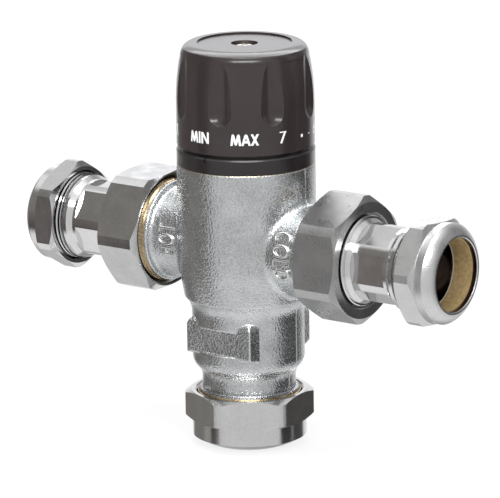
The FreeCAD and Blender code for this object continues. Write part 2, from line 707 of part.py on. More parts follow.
def union_nut(turn):
    length = UNION_END - UNION_START
    blank = hex_blank(UNION_HEX_AF, UNION_CORNER_R, length, turn)
    bore_r = THREAD_R + FIT
    lip = length - UNION_LIP
    mouth_cone = UNION_MOUTH_DEPTH - (UNION_MOUTH_R - bore_r) / 2
    hole = turned((0, 0), (UNION_MOUTH_R, 0), (UNION_MOUTH_R, mouth_cone), (bore_r, UNION_MOUTH_DEPTH),
                  (bore_r, lip), (UNION_HOLE_R, lip), (UNION_HOLE_R, length - MOUTH_CHAMFER),
                  (UNION_HOLE_R + MOUTH_CHAMFER, length), (0, length))
    nut = blank.cut(hole)
    nut.translate(Vector(0, 0, UNION_START))
    return nut


def gasket():
    return ring(INLET_WAY_R, THREAD_R - THREAD_LEAD_IN, PORT_FACE, PORT_FACE + GASKET_THICKNESS)


def strainer():
    """Slotted cup whose rim is held under the gasket."""
    top = PORT_FACE
    bottom = top - STRAINER_LENGTH
    floor = bottom + STRAINER_WALL
    rim = top - STRAINER_RIM
    cup = turned((0, bottom), (STRAINER_R, bottom), (STRAINER_R, rim), (STRAINER_RIM_R, rim),
                 (STRAINER_RIM_R, top), (STRAINER_R - STRAINER_WALL, top),
                 (STRAINER_R - STRAINER_WALL, floor), (0, floor))
    slots = spokes(STRAINER_SLOTS, STRAINER_SLOT_WIDTH, STRAINER_R - 2 * STRAINER_WALL, STRAINER_R + OVERLAP,
                   floor + STRAINER_WALL, rim - STRAINER_WALL)
    return cup.cut(slots)


def tailpiece(turn):
    flange_start = PORT_FACE + GASKET_THICKNESS
    flange_end = flange_start + TAIL_FLANGE
    groove_end = TAIL_HUB_END + TAIL_GROOVE
    thread_start = TAIL_RING_END + RING_STEP
    solid = turned(
        (0, flange_start), (TAIL_FLANGE_R, flange_start), (TAIL_FLANGE_R, flange_end),
        (TAIL_HUB_R, flange_end), (TAIL_HUB_R, TAIL_HUB_END - EDGE_BREAK),
        (TAIL_HUB_R - EDGE_BREAK, TAIL_HUB_END),
        (TAIL_GROOVE_R, TAIL_HUB_END), (TAIL_GROOVE_R, groove_end), (TAIL_R, TAIL_CONE_END),
        (TAIL_R, TAIL_FLARE_START), (TAIL_RING_R, TAIL_FLARE_END), (TAIL_RING_R, TAIL_RING_END),
        (TAIL_THREAD_R, thread_start), (TAIL_THREAD_R, TAIL_FACE - EDGE_BREAK),
        (TAIL_THREAD_R - EDGE_BREAK, TAIL_FACE), (0, TAIL_FACE))
    flats = ring(FLAT_AF / 2, TAIL_R + OVERLAP, FLAT_START, FLAT_END)
    flats = flats.cut(prism(FLAT_AF, FLAT_START, FLAT_END, turn))
    tube = turned((0, flange_start), (CHECK_BORE_R, flange_start), (CHECK_BORE_R, CHECK_BORE_END),
                  (CHECK_STOP_R, CHECK_BORE_END), (CHECK_STOP_R, TAIL_FACE - SOCKET_DEPTH),
                  (0, TAIL_FACE - SOCKET_DEPTH))
    return solid.cut([flats, tube, pipe_socket(TAIL_FACE)])


def check_cage():
    """Sleeve with the valve seat at its upstream end."""
    floor = CAGE_R - 2 * CHECK_SEAL_SECTION_R - SEAL_GAP
    half = CHECK_SEAL_SECTION_R + SEAL_GAP
    return turned((CAGE_BORE_R, CAGE_START), (CAGE_R, CAGE_START), (CAGE_R, SEAT_FACE - half),
                  (floor, SEAT_FACE - half), (floor, SEAT_FACE + half),
                  (CAGE_R, SEAT_FACE + half), (CAGE_R, CHECK_BORE_END), (CAGE_SEAT_R, CHECK_BORE_END),
                  (CAGE_SEAT_R, SEAT_FACE), (CAGE_BORE_R, SEAT_FACE))


def check_seal():
    return seal(CHECK_SEAL_SECTION_R, CAGE_R - CHECK_SEAL_SECTION_R, SEAT_FACE)


def check_guide():
    """Spider that the poppet's stem slides in."""
    outer = CAGE_BORE_R - FIT
    rim = ring(outer - GUIDE_RIM, outer, CAGE_START, GUIDE_TOP)
    arms = spokes(GUIDE_SPOKES, GUIDE_SPOKE_WIDTH, 0, outer - GUIDE_RIM / 2, CAGE_START, GUIDE_TOP)
    hub = cylinder(GUIDE_HUB_R, CAGE_START, GUIDE_TOP)
    hole = cylinder(POPPET_STEM_R + FIT, CAGE_START, GUIDE_TOP)
    return hub.fuse(arms + [rim]).cut(hole).removeSplitter()


def check_poppet():
    back = SEAT_FACE - POPPET_DISC
    tip = SEAT_FACE + POPPET_NOSE
    return turned((0, CAGE_START), (POPPET_STEM_R, CAGE_START), (POPPET_STEM_R, back - POPPET_FILLET),
                  (POPPET_STEM_R + POPPET_FILLET, back), (POPPET_R, back), (POPPET_R, SEAT_FACE),
                  (POPPET_NOSE_R, SEAT_FACE), (POPPET_TIP_R, tip), (0, tip))


def check_spring():
    return coil(CHECK_SPRING_R, CHECK_WIRE_R, CHECK_TURNS, GUIDE_TOP, SEAT_FACE - POPPET_DISC)


def bonnet():
    """Headwork with the upper seat, the carriage's guide and the knob's stop."""
    thread_r = BONNET_R - FIT
    skirt_r = BONNET_SKIRT_R - FIT
    groove_floor = thread_r - 2 * BONNET_SEAL_SECTION_R - SEAL_GAP
    half = BONNET_SEAL_SECTION_R + SEAL_GAP
    outer = turned((0, SEAT_HEIGHT), (skirt_r, SEAT_HEIGHT), (skirt_r, BONNET_LEDGE),
                   (thread_r, BONNET_LEDGE), (thread_r, BONNET_SEAL_HEIGHT - half),
                   (groove_floor, BONNET_SEAL_HEIGHT - half),
                   (groove_floor, BONNET_SEAL_HEIGHT + half), (thread_r, BONNET_SEAL_HEIGHT + half),
                   (thread_r, BONNET_NECK_BOTTOM), (BONNET_NECK_R, BONNET_NECK_BOTTOM),
                   (BONNET_NECK_R, BONNET_SHOULDER), (BONNET_STEM_R, BONNET_SHOULDER),
                   (BONNET_STEM_R, BONNET_TOP), (0, BONNET_TOP))
    roof = BONNET_TOP - BONNET_ROOF
    hollow = turned((0, SEAT_HEIGHT), (SEAT_R, SEAT_HEIGHT), (SEAT_R, BONNET_LEDGE),
                    (GUIDE_BORE_R, BONNET_LEDGE), (GUIDE_BORE_R, roof), (SPINDLE_R + FIT, roof),
                    (SPINDLE_R + FIT, BONNET_TOP), (0, BONNET_TOP))
    keyways = bar(KEYWAY_WIDTH / 2, -KEYWAY_R, KEYWAY_R, BONNET_LEDGE, roof)
    lug = sector(BONNET_STEM_R - OVERLAP, STOP_LUG_R, STOP_LUG_ANGLE, STOP_LUG_BOTTOM, STOP_LUG_TOP)
    return outer.cut([hollow, keyways]).fuse(lug).removeSplitter()


def bonnet_seal():
    return seal(BONNET_SEAL_SECTION_R, BONNET_R - FIT - BONNET_SEAL_SECTION_R, BONNET_SEAL_HEIGHT)


def collar_ring():
    bore_r = BONNET_NECK_R + COLLAR_PLAY
    solid = turned((bore_r, BARREL_TOP), (BARREL_R, BARREL_TOP), (BARREL_R, COLLAR_TOP - COLLAR_EDGE),
                   (BARREL_R - COLLAR_EDGE, COLLAR_TOP), (COLLAR_SPIGOT_R, COLLAR_TOP),
                   (COLLAR_SPIGOT_R, COLLAR_SPIGOT_TOP), (bore_r, COLLAR_SPIGOT_TOP))
    notch = bar(INDEX_HALF_WIDTH, -BARREL_R - OVERLAP, INDEX_DEPTH - BARREL_R, COLLAR_TOP - INDEX_HEIGHT,
                COLLAR_TOP)
    return solid.cut(notch)


def flute():
    """Cutter for one grip flute: an upright round bar with a ball end, clear of the top rim."""
    centre_r = FLUTE_FLOOR_R + FLUTE_R
    tool = cylinder(FLUTE_R, FLUTE_END, KNOB_TOP + OVERLAP)
    tool = tool.fuse(Part.makeSphere(FLUTE_R, Vector(0, 0, FLUTE_END)))
    tool.translate(Vector(0, -centre_r, 0))
    return tool


def temperature_knob():
    shoulder = (KNOB_RIM_R, KNOB_TOP - KNOB_EDGE)
    shell = turned((0, KNOB_BOTTOM), (KNOB_R - EDGE_BREAK, KNOB_BOTTOM), (KNOB_R, KNOB_BOTTOM + EDGE_BREAK),
                   (KNOB_R, KNOB_STRAIGHT_TOP), level_arc((KNOB_R, KNOB_STRAIGHT_TOP), shoulder),
                   level_arc(shoulder, (KNOB_RIM_R - KNOB_EDGE, KNOB_TOP)), (0, KNOB_TOP))
    cutters = []
    for i in range(FLUTES):
        tool = flute()
        tool.rotate(ORIGIN, UP, FIRST_FLUTE + 360 / FLUTES * i)
        cutters.append(tool)
    roof = KNOB_TOP - KNOB_ROOF
    cutters.append(turned((0, KNOB_BOTTOM), (KNOB_SKIRT_R, KNOB_BOTTOM), (KNOB_SKIRT_R, KNOB_SKIRT_TOP),
                          (KNOB_BORE_R, KNOB_SKIRT_TOP), (KNOB_BORE_R, roof),
                          (KNOB_HUB_R, roof), (KNOB_HUB_R, KNOB_HUB_BOTTOM), (0, KNOB_HUB_BOTTOM)))
    cutters.append(cylinder(DISC_R, KNOB_TOP - DISC_SUNK - DISC_THICKNESS, KNOB_TOP))
    cutters.append(prism(SPINDLE_HEX_AF + 2 * FIT, KNOB_HUB_BOTTOM, SPINDLE_TOP))
    cutters.append(cylinder(SCREW_R + FIT, SPINDLE_TOP, SCREW_FLOOR))
    cutters.append(cylinder(DISC_HOLE_R, SCREW_FLOOR, KNOB_TOP))
    rib_angle = 360 - KNOB_TURN - STOP_LUG_ANGLE - STOP_PLAY
    rib = sector(STOP_RIB_R, KNOB_BORE_R + OVERLAP, rib_angle, STOP_LUG_BOTTOM, STOP_LUG_TOP)
    rib.rotate(ORIGIN, UP, (STOP_LUG_ANGLE + rib_angle + STOP_PLAY) / 2)
    return shell.cut(cutters).fuse(rib).removeSplitter()


def knob_disc():
    top = KNOB_TOP - DISC_SUNK
    return ring(DISC_HOLE_R, DISC_R - FIT, top - DISC_THICKNESS, top)


def knob_screw():
    head_top = SCREW_FLOOR + SCREW_HEAD
    tip = SCREW_FLOOR - SCREW_LENGTH
    screw = turned((0, tip), (SCREW_R, tip), (SCREW_R, SCREW_FLOOR), (SCREW_HEAD_R, SCREW_FLOOR),
                   (SCREW_HEAD_R, head_top - SCREW_CROWN),
                   (SCREW_HEAD_R - SCREW_CROWN, head_top), (0, head_top))
    slot = bar(SCREW_SLOT / 2, -SCREW_SLOT_REACH, SCREW_SLOT_REACH, head_top - SCREW_SLOT_DEPTH, head_top)
    cross = slot.copy()
    cross.rotate(ORIGIN, UP, 90)
    return screw.cut([slot, cross])


def spindle():
    """Fixed in height by its collar and clip; its lower end drives the carriage."""
    seal_floor = SPINDLE_R - 2 * SPINDLE_SEAL_SECTION_R - SEAL_GAP
    seal_half = SPINDLE_SEAL_SECTION_R + SEAL_GAP
    clip_bottom = BONNET_TOP + AXIAL_GAP
    clip_top = clip_bottom + CLIP_THICKNESS
    stem = turned((0, SPINDLE_BOTTOM), (SPINDLE_THREAD_R - EDGE_BREAK, SPINDLE_BOTTOM),
                  (SPINDLE_THREAD_R, SPINDLE_BOTTOM + EDGE_BREAK),
                  (SPINDLE_THREAD_R, SPINDLE_COLLAR_BOTTOM), (SPINDLE_COLLAR_R, SPINDLE_COLLAR_BOTTOM),
                  (SPINDLE_COLLAR_R, WASHER_BOTTOM), (SPINDLE_R, WASHER_BOTTOM),
                  (SPINDLE_R, SPINDLE_SEAL_HEIGHT - seal_half), (seal_floor, SPINDLE_SEAL_HEIGHT - seal_half),
                  (seal_floor, SPINDLE_SEAL_HEIGHT + seal_half), (SPINDLE_R, SPINDLE_SEAL_HEIGHT + seal_half),
                  (SPINDLE_R, clip_bottom), (CLIP_GROOVE_R, clip_bottom), (CLIP_GROOVE_R, clip_top),
                  (SPINDLE_R, clip_top), (SPINDLE_R, KNOB_HUB_BOTTOM), (0, KNOB_HUB_BOTTOM))
    drive = prism(SPINDLE_HEX_AF, KNOB_HUB_BOTTOM, SPINDLE_TOP)
    hole = cylinder(SCREW_R + FIT, SCREW_FLOOR - SCREW_LENGTH - OVERLAP, SPINDLE_TOP)
    return stem.fuse(drive).cut(hole).removeSplitter()


def spindle_seal():
    return seal(SPINDLE_SEAL_SECTION_R, SPINDLE_R - SPINDLE_SEAL_SECTION_R, SPINDLE_SEAL_HEIGHT)


def thrust_washer():
    return ring(SPINDLE_R + FIT, SPINDLE_COLLAR_R, WASHER_BOTTOM, WASHER_BOTTOM + WASHER_THICKNESS)


def open_clip(inner, outer, bottom, thickness, opening):
    """Spring clip: a flat ring with a gap on the +X side."""
    gap = Part.makeBox(outer + OVERLAP, opening, thickness, Vector(0, -opening / 2, bottom))
    return ring(inner, outer, bottom, bottom + thickness).cut(gap)


def spindle_clip():
    return open_clip(CLIP_GROOVE_R + FIT, CLIP_R, BONNET_TOP + AXIAL_GAP, CLIP_THICKNESS, CLIP_OPENING)


def carriage():
    """Cup that holds the overtravel spring, with a threaded neck and two keys."""
    groove_r = PLUNGER_CLIP_R + FIT
    groove_top = PLUNGER_CLIP_HEIGHT + PLUNGER_CLIP
    slide_r = GUIDE_BORE_R - FIT
    cup = turned((CARRIAGE_CUP_R, CARRIAGE_BOTTOM), (slide_r, CARRIAGE_BOTTOM), (slide_r, CARRIAGE_TOP),
                 (SPINDLE_THREAD_R + FIT, CARRIAGE_TOP), (SPINDLE_THREAD_R + FIT, CARRIAGE_CUP_TOP),
                 (CARRIAGE_CUP_R, CARRIAGE_CUP_TOP), (CARRIAGE_CUP_R, groove_top), (groove_r, groove_top),
                 (groove_r, PLUNGER_CLIP_HEIGHT), (CARRIAGE_CUP_R, PLUNGER_CLIP_HEIGHT))
    key_half = KEYWAY_WIDTH / 2 - FIT
    key_r = KEYWAY_R - 2 * FIT
    keys = [bar(key_half, slide_r - OVERLAP, key_r, CARRIAGE_BOTTOM, CARRIAGE_TOP),
            bar(key_half, -key_r, OVERLAP - slide_r, CARRIAGE_BOTTOM, CARRIAGE_TOP)]
    return cup.fuse(keys).removeSplitter()


def plunger_clip():
    return open_clip(PLUNGER_CLIP_HOLE_R, PLUNGER_CLIP_R, PLUNGER_CLIP_HEIGHT, PLUNGER_CLIP, CLIP_OPENING)


def plunger():
    top = PLUNGER_BOTTOM + PLUNGER_THICKNESS
    return turned((0, PLUNGER_BOTTOM), (CARRIAGE_CUP_R - FIT, PLUNGER_BOTTOM), (CARRIAGE_CUP_R - FIT, top),
                  (PLUNGER_BOSS_R, top), (PLUNGER_BOSS_R, top + PLUNGER_BOSS), (0, top + PLUNGER_BOSS))


def overtravel_spring():
    return coil(OVERTRAVEL_R, OVERTRAVEL_WIRE_R, OVERTRAVEL_TURNS, PLUNGER_BOTTOM + PLUNGER_THICKNESS,
                CARRIAGE_CUP_TOP)


def element_pin():
    return cylinder(PIN_R, PIN_BOTTOM, PLUNGER_BOTTOM)


def wax_element():
    """Wax capsule: bulb in the mixed water, flange on the shuttle's hub and a neck that guides the pin."""
    flange_top = SHUTTLE_HUB_HALF + ELEMENT_FLANGE
    bulb_r = BULB_R - FIT
    nose_start = (bulb_r - BULB_NOSE, BULB_BOTTOM)
    nose_end = (bulb_r, BULB_BOTTOM + BULB_NOSE)
    capsule = turned(
        (0, BULB_BOTTOM), nose_start, arc_to_level(nose_start, nose_end),
        (bulb_r, SHUTTLE_HUB_HALF), (ELEMENT_FLANGE_R, SHUTTLE_HUB_HALF), (ELEMENT_FLANGE_R, flange_top),
        (ELEMENT_NECK_R + ELEMENT_FILLET, flange_top), (ELEMENT_NECK_R, flange_top + ELEMENT_FILLET),
        (ELEMENT_NECK_R, ELEMENT_TOP), (0, ELEMENT_TOP))
    return capsule.cut(cylinder(PIN_R + FIT, PIN_HOLE_BOTTOM, ELEMENT_TOP))


def mixing_shuttle():
    """Sleeve that meters hot water at its lower rim and cold water at its upper one."""
    floor = SHUTTLE_R - 2 * SHUTTLE_SEAL_SECTION_R - SEAL_GAP
    half = SHUTTLE_SEAL_SECTION_R + SEAL_GAP
    sleeve = turned((SHUTTLE_BORE_R, -SHUTTLE_HALF), (SHUTTLE_R, -SHUTTLE_HALF), (SHUTTLE_R, -half),
                    (floor, -half), (floor, half), (SHUTTLE_R, half), (SHUTTLE_R, SHUTTLE_HALF),
                    (SHUTTLE_BORE_R, SHUTTLE_HALF))
    hub = ring(BULB_R, SHUTTLE_HUB_R, -SHUTTLE_HUB_HALF, SHUTTLE_HUB_HALF)
    arms = spokes(SHUTTLE_SPOKES, SHUTTLE_SPOKE_WIDTH, (BULB_R + SHUTTLE_HUB_R) / 2,
                  (SHUTTLE_BORE_R + floor) / 2, -SHUTTLE_HUB_HALF, SHUTTLE_HUB_HALF)
    return sleeve.fuse([hub] + arms).removeSplitter()


def shuttle_seal():
    return seal(SHUTTLE_SEAL_SECTION_R, SHUTTLE_R - SHUTTLE_SEAL_SECTION_R, 0)


def return_spring():
    return coil(RETURN_SPRING_R, RETURN_WIRE_R, RETURN_TURNS, MIXING_BOTTOM, -SHUTTLE_HUB_HALF)


def inlet_olive():
    part = olive()
    part.translate(Vector(0, 0, TAIL_FACE - OLIVE_CONE))
    return part


def inlet_pieces(name, side, union_turn, tail_turn, comp_turn):
    """Everything on one inlet, from the strainer out to the compression nut."""
    pieces = {
        "strainer": strainer(),
        "gasket": gasket(),
        "tailpiece": tailpiece(tail_turn),
        "union_nut": union_nut(union_turn),
        "check_cage": check_cage(),
        "check_seal": check_seal(),
        "check_guide": check_guide(),
        "check_poppet": check_poppet(),
        "check_spring": check_spring(),
        "olive": inlet_olive(),
        "compression_nut": inlet_compression_nut(comp_turn),
    }
    return {f"{name}_{piece}": side(shape) for piece, shape in pieces.items()}


def all_pieces():
    pieces = {
        "valve_body": valve_body(),
        "bonnet": bonnet(),
        "bonnet_seal": bonnet_seal(),
        "collar_ring": collar_ring(),
        "temperature_knob": temperature_knob(),
        "knob_disc": knob_disc(),
        "knob_screw": knob_screw(),
        "spindle": spindle(),
        "spindle_seal": spindle_seal(),
        "thrust_washer": thrust_washer(),
        "spindle_clip": spindle_clip(),
        "carriage": carriage(),
        "plunger": plunger(),
        "plunger_clip": plunger_clip(),
        "overtravel_spring": overtravel_spring(),
        "element_pin": element_pin(),
        "wax_element": wax_element(),
        "mixing_shuttle": mixing_shuttle(),
        "shuttle_seal": shuttle_seal(),
        "return_spring": return_spring(),
        "outlet_olive": outlet_olive(),
        "outlet_compression_nut": outlet_compression_nut(),
    }
    pieces.update(inlet_pieces("hot", hot, LEFT_UNION_TURN, LEFT_TAIL_TURN, LEFT_COMP_TURN))
    pieces.update(inlet_pieces("cold", cold, RIGHT_UNION_TURN, RIGHT_TAIL_TURN, RIGHT_COMP_TURN))
    return pieces


os.makedirs("parts", exist_ok=True)
for node, solid in all_pieces().items():
    solid.translate(Vector(0, 0, PORT_HEIGHT))
    solid.exportStep(f"parts/{node}.step")
    print(f"{node}: {len(solid.Solids)} solid, valid {solid.isValid()}, {solid.Volume:.1f} mm3")
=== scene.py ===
import json
import math

import bpy
from mathutils import Matrix, Vector


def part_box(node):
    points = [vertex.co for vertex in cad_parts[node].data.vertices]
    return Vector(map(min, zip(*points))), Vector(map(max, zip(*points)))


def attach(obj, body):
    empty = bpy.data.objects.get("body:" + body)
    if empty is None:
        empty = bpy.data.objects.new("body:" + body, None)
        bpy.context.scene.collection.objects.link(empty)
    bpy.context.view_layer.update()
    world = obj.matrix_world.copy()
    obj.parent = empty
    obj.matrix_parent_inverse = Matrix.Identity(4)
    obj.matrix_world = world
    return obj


# Looks of the thermostatic mixing valve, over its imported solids. Lengths are in metres unless a name ends
# in MM. The valve's axis is Z, the inlets lie along X with the cold one at +X, and the index faces -Y.
# An azimuth is an angle about Z from -Y towards +X, in degrees.

MM = 0.001
PORT_Z = 65.8 * MM           # height of the inlets' axis
BOSS_R = 14.6 * MM
FLANGE_X = 29.3 * MM         # the bare threads start here
FLANGE_BARE_R = 15.5 * MM
NECK_END_Z = 17.8 * MM       # the bare outlet thread starts below this
BARREL_TOP_Z = 92.3 * MM     # the casting's turned top edge
BARE_EDGE = 0.45 * MM        # how ragged the plating's top edge is
EDGE_MARGIN = 0.15 * MM
NECK_SHADE_HEIGHT = 2.2 * MM        # height of the painted shade band above the outlet thread
CONE_FOOT_Z = 25.6 * MM      # the crease between the cone and the neck
CREASE_HIGHLIGHT_REACH = 1.6 * MM            # reach of its painted highlight band
CAST_ROUNDING = 0.9 * MM     # how soft the casting's edges are
SCREW_SUNK = 0.5 * MM        # the screw's head below the disc's face
SCREW_CROWN = 1.1 * MM       # height of its domed part
BODY_PITCH = 2.309 * MM
TAIL_PITCH = 1.5 * MM
GROOVE_SHARE = 0.3           # of a tail thread's flank that gets painted shade
THREAD_SHOWN = 2.6 * MM      # of the tails' threads, behind the compression nuts
OLIVE_INNER_X = 70.9 * MM    # the olives reach in to here
SOCKET_R = 11.1 * MM
MOUTH_R = 11.6 * MM
WALL_REACH = 0.25 * MM
KNOB_R = 22.0 * MM
RIM_UPRIGHT = 0.62           # where the knob's rim turns from flat top to side, by its normal's Z
RIM_BLEND = 0.06
SEAM_Y = 1.2 * MM            # the casting's parting line
SEAM_HALF = 0.35 * MM
SEAM_HEIGHT = 0.3 * MM
THREAD_RUN_IN = 0.8 * MM     # the body's threads start this far from their shoulders
FLANGE_STEP = 0.2 * MM
LAND_MARGIN = 0.1 * MM
OLIVE_EDGE = 0.35 * MM
SOCKET_EDGE = 0.4 * MM
CROSS_HALF = 0.35 * MM       # half the width of the screw's cross
CROSS_REACH = 2.0 * MM

# Size of each surface's grain, and how deep it is
CAST_GRAIN = 0.56 * MM
CAST_PIT = 0.7 * MM
CAST_PATCH = 9 * MM
CAST_DEPTH = 0.25 * MM
SMEAR = 6 * MM
TOOL_GRAIN = 0.5 * MM
TOOL_DEPTH = 0.02 * MM
HEAD_GRAIN = 0.6 * MM
TARNISH = 1.2 * MM
MOULD_GRAIN = 0.35 * MM
MOULD_DEPTH = 0.012 * MM
MOULD_CLOUD = 12 * MM
MOULD_IOR = 1.36

BRASS = (0.52, 0.41, 0.26)
DARK_BRASS = (0.30, 0.23, 0.14)
# Painted highlight for the bright lines at the olives' and sockets' inner edges
EDGE_HIGHLIGHT = (0.95, 0.92, 0.88)

# The camera, from the photograph
CAMERA_AZIMUTH = 35.9
CAMERA_ELEVATION = 14.25
CAMERA_ROLL = -0.83
CAMERA_DISTANCE = 1.3
CAMERA_LENS_MM = 293.2
CAMERA_SENSOR_MM = 36.0
AIM_RIGHT = 0.82 * MM
AIM_Z = PORT_Z - 2.57 * MM

# The scale printed on the knob: azimuth of each mark, and the letters' size
PRINT_Z = 103.8 * MM
PRINT_HEIGHT = 3.75 * MM
PRINT_STROKE = 0.70 * MM
PRINT_LIFT = 0.03 * MM
MIN_AZIMUTH = -5.4
MAX_AZIMUTH = 34.9
DIGIT_AZIMUTH = 67.3
NEXT_AZIMUTH = 113.5         # the number after it
DIGIT_STEP = 41.0            # from there on, from one number to the next
DOT_STEP = 21.6              # from a number to the dot after it
SMALL_DOT_STEP = 33.0
DIGITS = "7654321"
DOT_R = 0.55 * MM
SMALL_DOT_R = 0.28 * MM
DOT_DROP = 0.7 * MM          # below the letters' middle
DOT_CORNERS = 24

# The cast words on the inlet bosses
CAST_HEIGHT = 5.4 * MM
CAST_WIDTH = 15.4 * MM
CAST_WIRE_R = 0.52 * MM
CAST_PROUD = 0.28 * MM       # the strokes' middles stand this far off the boss
COLD_BASE_X = 20.6 * MM
COLD_CENTRE_DEG = 4.5        # about the inlet's axis, up from -Y
HOT_BASE_X = -18.8 * MM
HOT_CENTRE_DEG = 3.5
HOT_WIDTH = 10.0 * MM

LAMP_DISTANCE = 1.4
FLOOR_SIZE = 6.0
FLOOR_GLOW = 0.8             # how white the floor is to the camera, shadow and all


def arc(cx, cy, rx, ry, start, end, steps=10):
    """Points on an ellipse, angles in degrees from +X."""
    points = []
    for i in range(steps + 1):
        a = math.radians(start + (end - start) * i / steps)
        points.append((cx + rx * math.cos(a), cy + ry * math.sin(a)))
    return points


# Letters as strokes in a box that is 1 high; the number is the letter's width
GLYPHS = {
    "M": (0.82, [[(0.05, 0), (0.17, 1), (0.41, 0.06), (0.65, 1), (0.77, 0)]]),
    "I": (0.18, [[(0.09, 0), (0.09, 1)]]),
    "N": (0.74, [[(0.08, 0), (0.08, 1), (0.66, 0), (0.66, 1)]]),
    "A": (0.68, [[(0.03, 0), (0.34, 1), (0.65, 0)], [(0.15, 0.32), (0.53, 0.32)]]),
    "X": (0.58, [[(0.03, 0), (0.55, 1)], [(0.55, 0), (0.03, 1)]]),
    "H": (0.70, [[(0.08, 0), (0.08, 1)], [(0.62, 0), (0.62, 1)], [(0.08, 0.5), (0.62, 0.5)]]),
    "O": (0.84, [arc(0.42, 0.5, 0.36, 0.5, 0, 360, 24)]),
    "T": (0.70, [[(0.35, 0), (0.35, 1)], [(0.0, 1), (0.70, 1)]]),
    "C": (0.72, [arc(0.42, 0.5, 0.36, 0.5, 62, 298, 16)]),
    "L": (0.56, [[(0.06, 1), (0.06, 0), (0.56, 0)]]),
    "D": (0.78, [[(0.08, 0), (0.08, 1), (0.30, 1)] + arc(0.30, 0.5, 0.40, 0.5, 80, -80, 12) + [(0.08, 0)]]),
    "1": (0.40, [[(0.05, 0.80), (0.28, 1), (0.28, 0)]]),
    "2": (0.62, [arc(0.31, 0.70, 0.25, 0.30, 170, -20, 12) + [(0.05, 0), (0.58, 0)]]),
    "3": (0.60, [arc(0.28, 0.74, 0.23, 0.26, 150, -90, 12), arc(0.28, 0.26, 0.27, 0.26, 90, -150, 12)]),
    "4": (0.66, [[(0.46, 0), (0.46, 1), (0.03, 0.27), (0.64, 0.27)]]),
    "5": (0.60, [[(0.52, 1), (0.16, 1), (0.10, 0.56)] + arc(0.28, 0.31, 0.27, 0.31, 105, -150, 14)]),
    "6": (0.62, [[(0.46, 1), (0.10, 0.46)], arc(0.31, 0.29, 0.25, 0.29, 0, 360, 20)]),
    "7": (0.60, [[(0.03, 1), (0.58, 1), (0.16, 0)]]),
}
GLYPH_GAP = 0.11
LONGEST_STEP = 0.12          # of a stroke, so that it follows the curved face under it
MITRE_LIMIT = 0.45


def strokes_of(words):
    """Strokes of a line of letters, centred on X, in letter heights."""
    strokes = []
    x = 0.0
    for letter in words:
        width, lines = GLYPHS[letter]
        strokes += [[(px + x, py) for px, py in line] for line in lines]
        x += width + GLYPH_GAP
    middle = (x - GLYPH_GAP) / 2
    return [[(px - middle, py) for px, py in line] for line in strokes]


def width_of(words):
    return sum(GLYPHS[letter][0] for letter in words) + GLYPH_GAP * (len(words) - 1)


def finer(line, longest):
    """The same stroke with no step longer than this."""
    points = [line[0]]
    for (x0, y0), (x1, y1) in zip(line, line[1:]):
        count = max(1, math.ceil(math.hypot(x1 - x0, y1 - y0) / longest))
        points += [(x0 + (x1 - x0) * i / count, y0 + (y1 - y0) * i / count) for i in range(1, count + 1)]
    return points


def add_object(name, data, material, body):
    piece = bpy.data.objects.new(name, data)
    bpy.context.collection.objects.link(piece)
    piece.data.materials.append(material)
    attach(piece, body)
    return piece


def on_cylinder(radius, azimuth, z):
    a = math.radians(azimuth)
    return Vector((radius * math.sin(a), -radius * math.cos(a), z))


def ribbon(line, width):
    """Left and right edges of a flat stroke, mitred at its corners."""
    left = []
    right = []
    for i, (x, y) in enumerate(line):
        steps = [(line[j + 1][0] - line[j][0], line[j + 1][1] - line[j][1])
                 for j in (i - 1, i) if 0 <= j < len(line) - 1]
        units = [Vector(step).normalized() for step in steps]
        direction = sum(units, Vector((0, 0))).normalized()
        normal = Vector((-direction.y, direction.x))
        reach = width / 2 / max(MITRE_LIMIT, direction.dot(units[0]))
        left.append((x + normal.x * reach, y + normal.y * reach))
        right.append((x - normal.x * reach, y - normal.y * reach))
    return left, right


def printed(name, words, azimuth, material):
    """Flat letters on the knob's cylinder."""
    points = []
    faces = []
    for line in strokes_of(words):
        left, right = ribbon(finer(line, LONGEST_STEP), PRINT_STROKE / PRINT_HEIGHT)
        first = len(points)
        for pair in zip(left, right):
            for x, y in pair:
                turn = math.degrees(x * PRINT_HEIGHT / KNOB_R)
                z = PRINT_Z + (min(max(y, 0.0), 1.0) - 0.5) * PRINT_HEIGHT
                points.append(on_cylinder(KNOB_R + PRINT_LIFT, azimuth + turn, z))
        faces += [(first + 2 * i + 1, first + 2 * i + 3, first + 2 * i + 2, first + 2 * i)
                  for i in range(len(left) - 1)]
    mesh = bpy.data.meshes.new(name)
    mesh.from_pydata(points, [], faces)
    return add_object(name, mesh, material, "knob")


def printed_dot(name, azimuth, radius, material):
    """A round dot of the scale."""
    middle = PRINT_Z - DOT_DROP
    points = [on_cylinder(KNOB_R + PRINT_LIFT, azimuth, middle)]
    for x, y in arc(0, 0, radius, radius, 0, 360, DOT_CORNERS)[:-1]:
        points.append(on_cylinder(KNOB_R + PRINT_LIFT, azimuth + math.degrees(x / KNOB_R), middle + y))
    faces = [(0, i, i % DOT_CORNERS + 1) for i in range(1, DOT_CORNERS + 1)]
    mesh = bpy.data.meshes.new(name)
    mesh.from_pydata(points, [], faces)
    return add_object(name, mesh, material, "knob")


